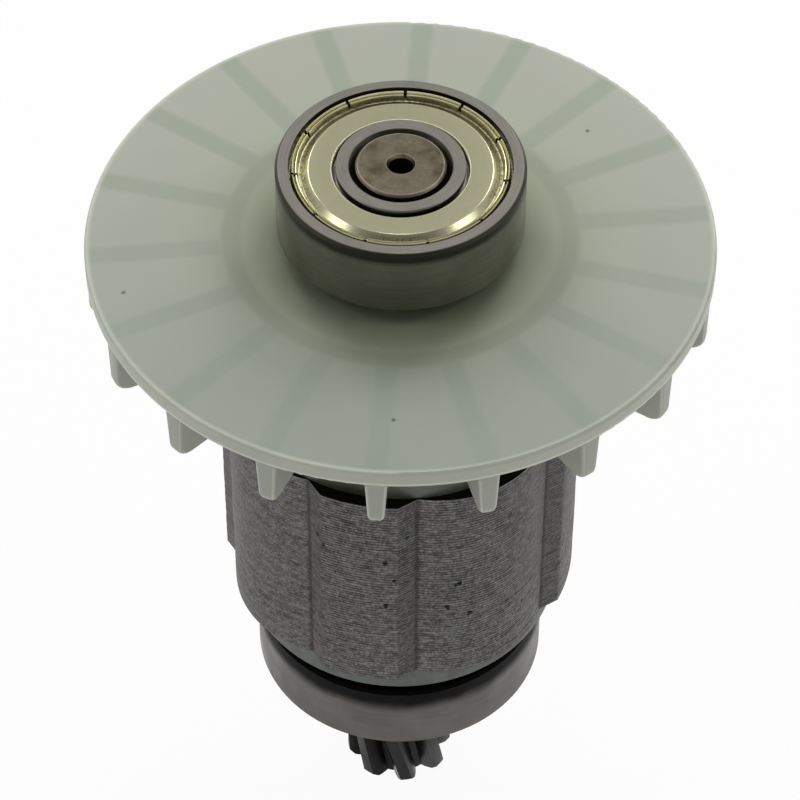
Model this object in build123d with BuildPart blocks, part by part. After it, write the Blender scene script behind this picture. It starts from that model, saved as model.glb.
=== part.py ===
from build123d import *
import os
from math import cos, radians, sin, tan

# Rotor of a brushless power-tool motor, in millimetres.
# +Z runs up the shaft from the pinion's end face, and -Y is the front.
# Bearings, core, end plate and fan are stacked on one stepped shaft.

# Shaft
pinion_length = 18.64
pinion_tip_radius = 5.3
pinion_root_radius = 3.75
pinion_teeth = 8
pinion_twist_per_mm = -2.6
pinion_phase = -80.0
pinion_end_chamfer = 0.45
tooth_tip_half_angle = 6.5
tooth_flank_half_angle = 12.5
tooth_root_half_angle = 17.5
shoulder_radius = 7.7
shoulder_length = 2.75
fan_seat_radius = 5.2
shaft_end_stand = 0.15
shaft_end_chamfer = 0.2
centre_hole_radius = 1.07
centre_hole_depth = 4.0
countersink_radius = 1.27
countersink_angle = 60.0

# Bearings
upper_bore = 8.0
upper_outside = 22.0
upper_width = 7.0
upper_ball = 3.969
upper_ball_count = 7
lower_bore = 12.0
lower_outside = 28.0
lower_width = 8.0
lower_ball = 4.762
lower_ball_count = 8
ring_corner = 0.3
ring_bore_corner = 0.58
ring_edge_break = 0.1
inner_shoulder_drop = 0.37
inner_step = 0.33
inner_step_depth = 0.95
outer_shoulder_drop = 0.35
race_ratio = 0.52
shield_seat_wall = 1.17
shield_seat_depth = 1.1
shield_sheet = 0.25
shield_inset = 0.35
shield_dish_width = 1.55
shield_curl_width = 0.77
shield_ledge = 0.25
shield_curl_height = 0.3
shield_foot_width = 0.92
shield_slot_width = 0.32
shield_slot_count = 11
shield_slot_phase = 87.7
cage_half_thickness = 0.55
cage_bridge = 0.3

# Core, magnets and end plate
core_height = 25.04
core_radius = 16.8
groove_radius = 15.75
narrow_pole_half_angle = 12.25
groove_half_angle = 18.75
pole_pairs = 4
pole_phase = -102.85
magnet_width = 11.6
magnet_thickness = 2.6
magnet_cover = 3.0
magnet_stand_back = 0.3
end_plate_radius = 15.25
end_plate_thickness = 3.2
end_plate_edge_round = 0.15

# Fan
fan_radius = 28.05
fan_plate_thickness = 1.68
fan_edge_round = 0.25
fan_hub_height = 16.15
fan_hub_top_radius = 15.85
fan_hub_foot_radius = 15.65
fan_hub_wall = 1.6
fan_sleeve_wall = 3.2
fan_bearing_gap = 1.62
blade_count = 18
blade_phase = -94.2
blade_width = 1.93
blade_draft = 3.1
blade_tip_drop = 5.4
blade_hub_drop = 5.7
blade_end_inset = 0.1
blade_corner_radius = 1.5
blade_edge_round = 0.4
blade_bite = 0.8

# Fits
seat_clearance = 0.01
ball_clearance = 0.01
pocket_clearance = 0.05
shield_seat_clearance = 0.05
shield_running_gap = 0.31
magnet_clearance = 0.05

# Levels up the shaft
lower_bearing_foot = pinion_length
shoulder_foot = lower_bearing_foot + lower_width
end_plate_foot = shoulder_foot + shoulder_length
core_foot = end_plate_foot + end_plate_thickness
core_top = core_foot + core_height
fan_plate_foot = core_top + fan_hub_height
fan_plate_top = fan_plate_foot + fan_plate_thickness
upper_bearing_foot = fan_plate_top + fan_bearing_gap
shaft_top = upper_bearing_foot + upper_width + shaft_end_stand


def polar(radius, angle):
    return (radius * cos(radians(angle)), radius * sin(radians(angle)))


def keep(piece, name):
    piece.part.label = name
    export_step(piece.part, f"parts/{name}.step")


os.makedirs("parts", exist_ok=True)

# Shaft: stepped and turned, with the helical pinion cut on its lower end
tooth_pitch = 360 / pinion_teeth
flank_radius = (pinion_tip_radius + pinion_root_radius) / 2

with BuildSketch() as pinion_section:
    with BuildLine():
        for tooth in range(pinion_teeth):
            middle = pinion_phase + tooth * tooth_pitch
            rising_root = polar(pinion_root_radius, middle - tooth_root_half_angle)
            rising_flank = polar(flank_radius, middle - tooth_flank_half_angle)
            rising_tip = polar(pinion_tip_radius, middle - tooth_tip_half_angle)
            falling_tip = polar(pinion_tip_radius, middle + tooth_tip_half_angle)
            falling_flank = polar(flank_radius, middle + tooth_flank_half_angle)
            falling_root = polar(pinion_root_radius, middle + tooth_root_half_angle)
            next_root = polar(pinion_root_radius, middle + tooth_pitch - tooth_root_half_angle)
            ThreePointArc(rising_root, rising_flank, rising_tip)
            ThreePointArc(rising_tip, polar(pinion_tip_radius, middle), falling_tip)
            ThreePointArc(falling_tip, falling_flank, falling_root)
            ThreePointArc(falling_root, polar(pinion_root_radius, middle + tooth_pitch / 2), next_root)
    make_face()

pinion_blank = Solid.extrude_linear_with_rotation(
    pinion_section.face(),
    center=(0, 0, 0),
    normal=(0, 0, pinion_length),
    angle=pinion_twist_per_mm * pinion_length,
)
turned_radius = pinion_tip_radius + pinion_end_chamfer

with BuildPart() as shaft:
    add(pinion_blank)
    with BuildSketch(Plane.XZ):
        with BuildLine():
            Polyline(
                (0, 0),
                (pinion_tip_radius - pinion_end_chamfer, 0),
                (turned_radius, 2 * pinion_end_chamfer),
                (turned_radius, pinion_length),
                (0, pinion_length),
                close=True,
            )
        make_face()
    revolve(axis=Axis.Z, mode=Mode.INTERSECT)
    with BuildSketch(Plane.XZ):
        with BuildLine():
            Polyline(
                (0, pinion_length),
                (lower_bore / 2, pinion_length),
                (lower_bore / 2, shoulder_foot),
                (shoulder_radius, shoulder_foot),
                (shoulder_radius, end_plate_foot),
                (lower_bore / 2, end_plate_foot),
                (lower_bore / 2, core_top),
                (fan_seat_radius, core_top),
                (fan_seat_radius, upper_bearing_foot),
                (upper_bore / 2, upper_bearing_foot),
                (upper_bore / 2, shaft_top - shaft_end_chamfer),
                (upper_bore / 2 - shaft_end_chamfer, shaft_top),
                (0, shaft_top),
                close=True,
            )
        make_face()
    revolve(axis=Axis.Z)
    with Locations(Plane.XY.offset(shaft_top), Plane.XY.rotated((180, 0, 0))):
        CounterSinkHole(centre_hole_radius, countersink_radius, centre_hole_depth, countersink_angle)
keep(shaft, "shaft")


def bearing_rings(name, foot, bore, outside, width, ball):
    """Outer and inner ring, each turned with its race, seats and corners."""
    half = width / 2
    section_plane = Plane((0, 0, foot + half), x_dir=(1, 0, 0), z_dir=(0, -1, 0))
    pitch_radius = (bore + outside) / 4
    race_radius = ball * race_ratio
    race_offset = ball / 2 + ball_clearance - race_radius
    outer_land = pitch_radius + ball * outer_shoulder_drop
    seat_radius = outside / 2 - shield_seat_wall
    seat_floor = half - shield_seat_depth
    with BuildPart() as outer_ring:
        with BuildSketch(section_plane):
            with BuildLine():
                Polyline(
                    (outer_land, seat_floor),
                    (seat_radius, seat_floor),
                    (seat_radius, half),
                    (outside / 2 - ring_corner, half),
                    (outside / 2, half - ring_corner),
                    (outside / 2, ring_corner - half),
                    (outside / 2 - ring_corner, -half),
                    (seat_radius, -half),
                    (seat_radius, -seat_floor),
                    (outer_land, -seat_floor),
                    close=True,
                )
            make_face()
            with Locations((pitch_radius + race_offset, 0)):
                Circle(race_radius, mode=Mode.SUBTRACT)
        revolve(axis=Axis.Z)
    keep(outer_ring, f"{name}_outer_ring")

    bore_radius = bore / 2 + seat_clearance
    inner_land = pitch_radius - ball * inner_shoulder_drop
    step_radius = inner_land - inner_step
    step_floor = half - inner_step_depth
    with BuildPart() as inner_ring:
        with BuildSketch(section_plane):
            with BuildLine():
                Polyline(
                    (bore_radius, half - ring_bore_corner),
                    (bore_radius + ring_bore_corner, half),
                    (step_radius - ring_edge_break, half),
                    (step_radius, half - ring_edge_break),
                    (step_radius, step_floor),
                    (inner_land, step_floor),
                    (inner_land, -step_floor),
                    (step_radius, -step_floor),
                    (step_radius, ring_edge_break - half),
                    (step_radius - ring_edge_break, -half),
                    (bore_radius + ring_bore_corner, -half),
                    (bore_radius, ring_bore_corner - half),
                    close=True,
                )
            make_face()
            with Locations((pitch_radius - race_offset, 0)):
                Circle(race_radius, mode=Mode.SUBTRACT)
        revolve(axis=Axis.Z)
    keep(inner_ring, f"{name}_inner_ring")


def bearing_balls(name, foot, bore, outside, width, ball, ball_count):
    """Balls on the pitch circle, and the cage that spaces them."""
    pitch_radius = (bore + outside) / 4
    middle_plane = Plane.XY.offset(foot + width / 2)
    with BuildPart(middle_plane) as balls:
        with PolarLocations(pitch_radius, ball_count):
            Sphere(ball / 2)
    keep(balls, f"{name}_balls")

    pocket_radius = ball / 2 + pocket_clearance
    cage_half_height = pocket_radius + cage_bridge
    with BuildPart(middle_plane) as cage:
        Cylinder(pitch_radius + cage_half_thickness, 2 * cage_half_height)
        Cylinder(pitch_radius - cage_half_thickness, 2 * cage_half_height, mode=Mode.SUBTRACT)
        with PolarLocations(pitch_radius, ball_count):
            Cylinder(pocket_radius, 4 * cage_half_thickness, rotation=(0, 90, 0), mode=Mode.SUBTRACT)
    keep(cage, f"{name}_cage")


def bearing_shield(name, foot, bore, outside, width, ball, side):
    """Pressed shield; side is 1 for the top face and -1 for the bottom face."""
    half = width / 2
    section_plane = Plane((0, 0, foot + half), x_dir=(1, 0, 0), z_dir=(0, -1, 0))
    inner_edge = (bore + outside) / 4 - ball * inner_shoulder_drop - inner_step + shield_running_gap
    seat_radius = outside / 2 - shield_seat_wall
    outer_edge = seat_radius - shield_seat_clearance
    flat_edge = seat_radius - shield_dish_width
    curl_edge = seat_radius - shield_curl_width
    lip_edge = seat_radius - shield_ledge
    foot_edge = seat_radius - shield_foot_width
    top = side * (half - shield_inset)
    underside = top - side * shield_sheet
    floor = side * (half - shield_seat_depth)
    valley = floor + side * shield_sheet
    crest = valley + side * shield_curl_height
    with BuildPart() as shield:
        with BuildSketch(section_plane):
            with BuildLine():
                Line((inner_edge, underside), (inner_edge, top))
                Line((inner_edge, top), (flat_edge, top))
                TangentArc((flat_edge, top), (curl_edge, valley), tangent=(1, 0))
                ThreePointArc((curl_edge, valley), ((curl_edge + lip_edge) / 2, crest), (lip_edge, valley))
                Line((lip_edge, valley), (outer_edge, valley))
                Line((outer_edge, valley), (outer_edge, floor))
                Line((outer_edge, floor), (foot_edge, floor))
                TangentArc((flat_edge, underside), (foot_edge, floor), tangent=(1, 0))
                Line((flat_edge, underside), (inner_edge, underside))
            make_face()
        revolve(axis=Axis.Z)
        with BuildSketch(Plane.XY.offset(foot + half + side * half)):
            with PolarLocations(outer_edge, shield_slot_count, start_angle=shield_slot_phase):
                Rectangle(2 * shield_curl_width, shield_slot_width)
        extrude(amount=-side * shield_seat_depth, mode=Mode.SUBTRACT)
    keep(shield, name)


for bearing in (
    ("upper_bearing", upper_bearing_foot, upper_bore, upper_outside, upper_width, upper_ball, upper_ball_count),
    ("lower_bearing", lower_bearing_foot, lower_bore, lower_outside, lower_width, lower_ball, lower_ball_count),
):
    bearing_rings(*bearing[:6])
    bearing_balls(*bearing)
    bearing_shield(bearing[0] + "_top_shield", *bearing[1:6], side=1)
    bearing_shield(bearing[0] + "_bottom_shield", *bearing[1:6], side=-1)

# Core: stack of stamped sheets, its narrow poles round and its wide poles crowned
pole_pitch = 360 / pole_pairs
magnet_radius = core_radius - magnet_cover - magnet_thickness / 2

with BuildPart() as rotor_core:
    with BuildSketch(Plane.XY.offset(core_foot)):
        with BuildLine():
            for pole in range(pole_pairs):
                middle = pole_phase + pole * pole_pitch
                rising_foot = polar(groove_radius, middle - groove_half_angle)
                rising_edge = polar(core_radius, middle - narrow_pole_half_angle)
                falling_edge = polar(core_radius, middle + narrow_pole_half_angle)
                falling_foot = polar(groove_radius, middle + groove_half_angle)
                next_foot = polar(groove_radius, middle + pole_pitch - groove_half_angle)
                Line(rising_foot, rising_edge)
                ThreePointArc(rising_edge, polar(core_radius, middle), falling_edge)
                Line(falling_edge, falling_foot)
                ThreePointArc(falling_foot, polar(core_radius, middle + pole_pitch / 2), next_foot)
        make_face()
        Circle(lower_bore / 2 + seat_clearance, mode=Mode.SUBTRACT)
        with PolarLocations(magnet_radius, pole_pairs, start_angle=pole_phase + pole_pitch / 2):
            Rectangle(
                magnet_thickness + 2 * magnet_clearance,
                magnet_width + 2 * magnet_clearance,
                mode=Mode.SUBTRACT,
            )
    extrude(amount=core_height)
keep(rotor_core, "rotor_core")

for pole in range(pole_pairs):
    with BuildPart(Plane.XY.offset(core_foot)) as magnet:
        with PolarLocations(magnet_radius, 1, start_angle=pole_phase + (pole + 0.5) * pole_pitch):
            Box(
                magnet_thickness,
                magnet_width,
                core_height - magnet_stand_back,
                align=(Align.CENTER, Align.CENTER, Align.MIN),
            )
    keep(magnet, f"magnet_{pole + 1}")

# Lower end plate: insulating disc between the core and the shaft's shoulder
with BuildPart(Plane.XY.offset(end_plate_foot)) as lower_end_plate:
    Cylinder(end_plate_radius, end_plate_thickness, align=(Align.CENTER, Align.CENTER, Align.MIN))
    fillet(lower_end_plate.edges(), end_plate_edge_round)
    Cylinder(
        lower_bore / 2 + seat_clearance,
        end_plate_thickness,
        align=(Align.CENTER, Align.CENTER, Align.MIN),
        mode=Mode.SUBTRACT,
    )
keep(lower_end_plate, "lower_end_plate")

# Fan: one moulding, a flat plate with straight blades under it and a hub that seats on the core
fan_bore = fan_seat_radius + seat_clearance
blade_end = fan_radius - blade_end_inset
blade_low = fan_plate_foot - blade_hub_drop
blade_top = fan_plate_foot + blade_bite
top_half = blade_width / 2 + blade_bite * tan(radians(blade_draft))
low_half = blade_width / 2 - blade_hub_drop * tan(radians(blade_draft))

with BuildPart() as blade:
    with BuildSketch(Plane.XZ):
        with BuildLine():
            Polyline(
                (fan_hub_foot_radius, blade_top),
                (blade_end, blade_top),
                (blade_end, fan_plate_foot - blade_tip_drop),
                (fan_hub_foot_radius, blade_low),
                close=True,
            )
        blade_face = make_face()
        fillet(blade_face.vertices().group_by(Axis.Y)[1], blade_corner_radius)
    extrude(amount=blade_width, both=True)
    with BuildSketch(Plane.YZ):
        with BuildLine():
            Polyline(
                (top_half, blade_top),
                (low_half, blade_low),
                (-low_half, blade_low),
                (-top_half, blade_top),
                close=True,
            )
        make_face()
    extrude(amount=fan_radius, mode=Mode.INTERSECT)
    long_edges = blade.edges().filter_by(Axis.Y, reverse=True)
    lower_edges = long_edges.filter_by_position(Axis.Z, blade_low, fan_plate_foot, inclusive=(True, False))
    fillet(lower_edges.filter_by_position(Axis.X, fan_hub_foot_radius, fan_radius, (False, True)), blade_edge_round)

with BuildPart() as fan:
    with BuildSketch(Plane.XZ):
        with BuildLine():
            Polyline(
                (fan_bore, core_top),
                (fan_bore + fan_sleeve_wall, core_top),
                (fan_bore + fan_sleeve_wall, fan_plate_foot),
                (fan_hub_top_radius - fan_hub_wall, fan_plate_foot),
                (fan_hub_foot_radius - fan_hub_wall, core_top),
                (fan_hub_foot_radius, core_top),
                (fan_hub_top_radius, fan_plate_foot),
                (fan_radius, fan_plate_foot),
                (fan_radius, fan_plate_top),
                (fan_bore, fan_plate_top),
                close=True,
            )
        make_face()
    revolve(axis=Axis.Z)
    fillet(fan.edges().filter_by(GeomType.CIRCLE).sort_by(SortBy.RADIUS)[-2:], fan_edge_round)
    with PolarLocations(0, blade_count, start_angle=blade_phase):
        add(blade.part)
keep(fan, "fan")
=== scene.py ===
import bpy
import math
import random
from mathutils import Matrix, Vector


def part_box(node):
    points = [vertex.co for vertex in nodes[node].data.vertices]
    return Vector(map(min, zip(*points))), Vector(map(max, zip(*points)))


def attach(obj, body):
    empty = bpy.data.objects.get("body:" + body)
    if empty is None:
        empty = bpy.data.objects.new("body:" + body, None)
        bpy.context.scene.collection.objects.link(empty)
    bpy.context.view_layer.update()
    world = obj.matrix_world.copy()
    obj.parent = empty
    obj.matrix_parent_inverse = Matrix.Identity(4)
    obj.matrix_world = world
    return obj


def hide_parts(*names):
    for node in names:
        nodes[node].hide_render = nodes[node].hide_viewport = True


# Rotor of a brushless power-tool motor, upright: fan and small bearing on top, pinion at the bottom
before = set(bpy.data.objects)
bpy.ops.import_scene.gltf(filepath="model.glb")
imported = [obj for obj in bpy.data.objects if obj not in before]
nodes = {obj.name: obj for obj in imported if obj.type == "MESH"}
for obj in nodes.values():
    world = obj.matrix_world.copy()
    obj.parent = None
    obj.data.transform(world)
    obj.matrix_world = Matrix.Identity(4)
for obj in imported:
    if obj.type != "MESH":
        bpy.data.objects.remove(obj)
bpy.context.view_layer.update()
bpy.ops.object.select_all(action='DESELECT')
print("frame loaded,", len(nodes), "nodes")


def linearColour(hexColour):
    # sRGB hex to the linear values that Blender works in
    channels = [int(hexColour[i:i + 2], 16) / 255 for i in (1, 3, 5)]
    linear = [c / 12.92 if c <= 0.04045 else ((c + 0.055) / 1.055) ** 2.4 for c in channels]
    return (*linear, 1.0)


def addNode(tree, kind, inputs=None, stops=(), **settings):
    # adds one node; an input takes a value, a hex colour, another node or one of its outputs
    node = tree.nodes.new("ShaderNode" + kind)
    for name, value in settings.items():
        setattr(node, name, value)
    for index, (position, colour) in enumerate(stops):
        elements = node.color_ramp.elements
        element = elements[index] if index < 2 else elements.new(position)
        element.position = position
        element.color = linearColour(colour)
    for name, value in (inputs or {}).items():
        if isinstance(value, str):
            value = linearColour(value)
        if isinstance(value, bpy.types.Node):
            value = next(output for output in value.outputs if output.enabled)
        if isinstance(value, bpy.types.NodeSocket):
            tree.links.new(value, node.inputs[name])
        else:
            node.inputs[name].default_value = value
    return node


def startMaterial(name):
    material = bpy.data.materials.new(name)
    material.use_nodes = True
    material.node_tree.nodes.clear()
    return material, material.node_tree


def latheCoordinates(tree):
    # place in mm and, as all is turned about one axis, radius, angle, height and the way outwards
    place = addNode(tree, "VectorMath", {
        0: addNode(tree, "TexCoord").outputs["Object"], "Scale": 1000.0,
    }, operation='SCALE')
    axes = addNode(tree, "SeparateXYZ", {0: place})
    flat = addNode(tree, "VectorMath", {0: place, 1: (1.0, 1.0, 0.0)}, operation='MULTIPLY')
    turn = addNode(tree, "Math", {0: axes.outputs["Y"], 1: axes.outputs["X"]}, operation='ARCTAN2')
    return {
        "place": place,
        "back": axes.outputs["Y"],
        "height": axes.outputs["Z"],
        "radius": addNode(tree, "VectorMath", {0: flat}, operation='LENGTH'),
        "angle": addNode(tree, "Math", {0: turn, 1: 180 / math.pi}, operation='MULTIPLY'),
        "outward": addNode(tree, "VectorMath", {0: flat}, operation='NORMALIZE'),
    }


def ringLines(tree, lathe, acrossMm, alongMm):
    # marks of turning or grinding: fine across, drawn out round the axis, on faces and on sides;
    # alongMm is their length on a round of 12 mm radius
    across = addNode(tree, "Math", {0: lathe["radius"], 1: lathe["height"]}, operation='ADD')
    across = addNode(tree, "Math", {0: across, 1: acrossMm}, operation='DIVIDE')
    along = addNode(tree, "VectorMath", {
        0: lathe["outward"], "Scale": 12.0 / alongMm,
    }, operation='SCALE')
    stack = addNode(tree, "CombineXYZ", {2: across})
    place = addNode(tree, "VectorMath", {0: along, 1: stack}, operation='ADD')
    return addNode(tree, "TexNoise", {"Vector": place, "Scale": 1.0, "Detail": 2.0})


def gapFrom(tree, value, centre):
    # how far a value is from a centre, on either side
    gap = addNode(tree, "Math", {0: value, 1: centre}, operation='SUBTRACT')
    return addNode(tree, "Math", {0: gap}, operation='ABSOLUTE')


def paint(nodeName, material):
    nodes[nodeName].material_slots[0].material = material


# Camera, where the photograph was taken from. Lengths in mm, angles in degrees
cameraPlace = {
    "lens": 162.0,
    "aimHeight": 84.08,
    "distance": 313.58,
    "elevation": 44.5,
    "tiltBelowAim": 3.734,
    "turn": 0.002,
    "roll": 0.185,
}


def placeCamera(s):
    camera = bpy.data.objects.new("camera", bpy.data.cameras.new("camera"))
    bpy.context.collection.objects.link(camera)
    up = math.radians(s["elevation"])
    camera.location = (
        0.0,
        -s["distance"] * math.cos(up) / 1000,
        (s["aimHeight"] + s["distance"] * math.sin(up)) / 1000,
    )
    down = math.radians(s["elevation"] + s["tiltBelowAim"])
    camera.rotation_euler = (
        Matrix.Rotation(math.radians(s["turn"]), 3, 'Z')
        @ Matrix.Rotation(math.pi / 2 - down, 3, 'X')
        @ Matrix.Rotation(math.radians(s["roll"]), 3, 'Z')
    ).to_euler()
    camera.data.lens = s["lens"]
    camera.data.clip_start = 0.01
    bpy.context.scene.camera = camera


placeCamera(cameraPlace)
print("camera placed")

# Studio: white floor that runs up into a round wall, soft lamps, a pale sky. Lengths in metres
studio = {
    "floorRadius": 1.3,
    "wallHeight": 0.9,
    "coveRadius": 0.4,
    "paper": "#F4F4F2",
    "ownWhite": 0.95,
    "skyFront": 0.22,
    "skyBack": 0.60,
    "skyColour": "#FAFCFF",
    "lamps": (
        # name, place, width, power in watts, colour
        ("lampLeft", (-0.34, -0.03, 0.46), 0.13, 0.20, "#FFFFFF"),
        ("lampRight", (0.34, -0.03, 0.46), 0.13, 0.24, "#FFFFFF"),
        ("lampBackLeft", (-0.17, 0.27, 0.33), 0.18, 0.36, "#FFFDF8"),
        ("lampBackRight", (0.17, 0.27, 0.33), 0.18, 0.46, "#FFFDF8"),
        ("lampAbove", (0.0, 0.10, 0.36), 0.06, 0.06, "#FFFBF2"),
    ),
}


def buildBackdrop(s):
    bpy.ops.mesh.primitive_circle_add(vertices=96, radius=s["floorRadius"], fill_type='NGON')
    backdrop = bpy.context.object
    backdrop.name = "backdrop"
    bpy.ops.object.mode_set(mode='EDIT')
    bpy.ops.mesh.inset(thickness=s["coveRadius"])
    bpy.ops.mesh.select_all(action='DESELECT')
    bpy.ops.object.mode_set(mode='OBJECT')
    for vertex in backdrop.data.vertices:
        vertex.select = vertex.co.length > s["floorRadius"] - 0.01
    bpy.ops.object.mode_set(mode='EDIT')
    bpy.ops.mesh.select_mode(type='VERT')
    bpy.ops.transform.translate(value=(0, 0, s["coveRadius"]))
    wall = s["wallHeight"] - s["coveRadius"]
    bpy.ops.mesh.extrude_region_move(TRANSFORM_OT_translate={"value": (0, 0, wall)})
    bpy.ops.mesh.select_all(action='SELECT')
    bpy.ops.mesh.normals_make_consistent(inside=True)
    bpy.ops.object.mode_set(mode='OBJECT')
    bpy.ops.object.shade_smooth()

    material, tree = startMaterial("mattWhitePaper")
    ray = addNode(tree, "LightPath")
    seen = addNode(tree, "Math", {
        0: ray.outputs["Is Camera Ray"], 1: ray.outputs["Is Glossy Ray"],
    }, operation='MAXIMUM')
    seen = addNode(tree, "Math", {
        0: seen, 1: ray.outputs["Is Transmission Ray"],
    }, operation='MAXIMUM')
    share = addNode(tree, "Math", {0: seen, 1: s["ownWhite"]}, operation='MULTIPLY')
    paper = addNode(tree, "BsdfDiffuse", {"Color": s["paper"]})
    white = addNode(tree, "Emission", {"Color": "#FFFFFF", "Strength": 1.0})
    both = addNode(tree, "MixShader", {0: share, 1: paper, 2: white})
    addNode(tree, "OutputMaterial", {"Surface": both})
    backdrop.data.materials.append(material)
    backdrop.select_set(False)


def lightStudio(s):
    for name, place, width, power, colour in s["lamps"]:
        lamp = bpy.data.objects.new(name, bpy.data.lights.new(name, 'AREA'))
        bpy.context.collection.objects.link(lamp)
        lamp.data.shape = 'DISK'
        lamp.data.size = width
        lamp.data.energy = power
        lamp.data.color = linearColour(colour)[:3]
        lamp.location = place
        aim = Vector((0, 0, cameraPlace["aimHeight"] / 1000)) - lamp.location
        lamp.rotation_euler = aim.to_track_quat('-Z', 'Y').to_euler()
    world = bpy.data.worlds.new("paleSky")
    bpy.context.scene.world = world
    world.use_nodes = True
    tree = world.node_tree
    tree.nodes.clear()
    direction = addNode(tree, "SeparateXYZ", {0: addNode(tree, "TexCoord").outputs["Generated"]})
    level = addNode(tree, "MapRange", {
        0: direction.outputs["Y"], 1: -1.0, 2: 1.0, 3: s["skyFront"], 4: s["skyBack"],
    }, interpolation_type='SMOOTHSTEP')
    sky = addNode(tree, "Background", {"Color": s["skyColour"], "Strength": level})
    addNode(tree, "OutputWorld", {"Surface": sky})


buildBackdrop(studio)
lightStudio(studio)
bpy.context.scene.view_settings.view_transform = 'Standard'
print("studio built")

# Fan: natural nylon, moulded. Milky and greenish; the blades and the hub show through the plate.
# Lengths in mm; places from front to back count from the axis
fanFinish = {
    "radius": 28.05,
    "plateThickness": 1.68,
    "plateZones": (
        # share of the radius, colour over open air; darker towards the axis, where the hub's hollow
        # shows through, with painted shade of the bearing above
        (0.38, "#8A9077"), (0.44, "#969C82"), (0.50, "#A6AC94"), (0.56, "#AFB39F"),
        (0.62, "#B3B7A6"), (0.80, "#B2B5A7"), (0.96, "#B3B5A9"),
    ),
    "bladeShade": "#A0A998",
    "bladeShadeFront": 0.50,
    "bladeShadeBack": 1.0,
    "bladeReach": 22.0,
    "paintedFrontShade": "#DFE5E6",
    "frontReach": (-27.0, 20.0),
    "hubShade": "#909A84",
    "hubStrength": 0.55,
    "hubWall": (14.25, 15.85),
    "hubOutside": (15.9, 16.3),
    "paintedShadeBelowPlate": "#3B3D2D",
    "bladeCount": 18,
    "bladePhase": -94.2,
    "bladeWidth": 1.93,
    "bladeDraft": 3.1,
    "softEdge": 0.33,
    "edgeLine": 0.13,
    "edgeLight": "#F0F0E0",
    "edgeStrength": 0.45,
    "rimLight": "#D4D6C6",
    "rimStrength": 0.65,
    "rimFoot": 0.30,
    "rimFootStrength": 0.85,
    "specks": ((-0.54, -21.95), (-24.2, -7.2), (17.0, 13.3)),
    "speckShade": "#35372C",
    "speckRadius": (0.12, 0.24),
    "cloudShade": "#A6AFA0",
    "cloudMm": 7.0,
    "grainMm": 0.45,
    "roughness": 0.40,
}


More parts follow.
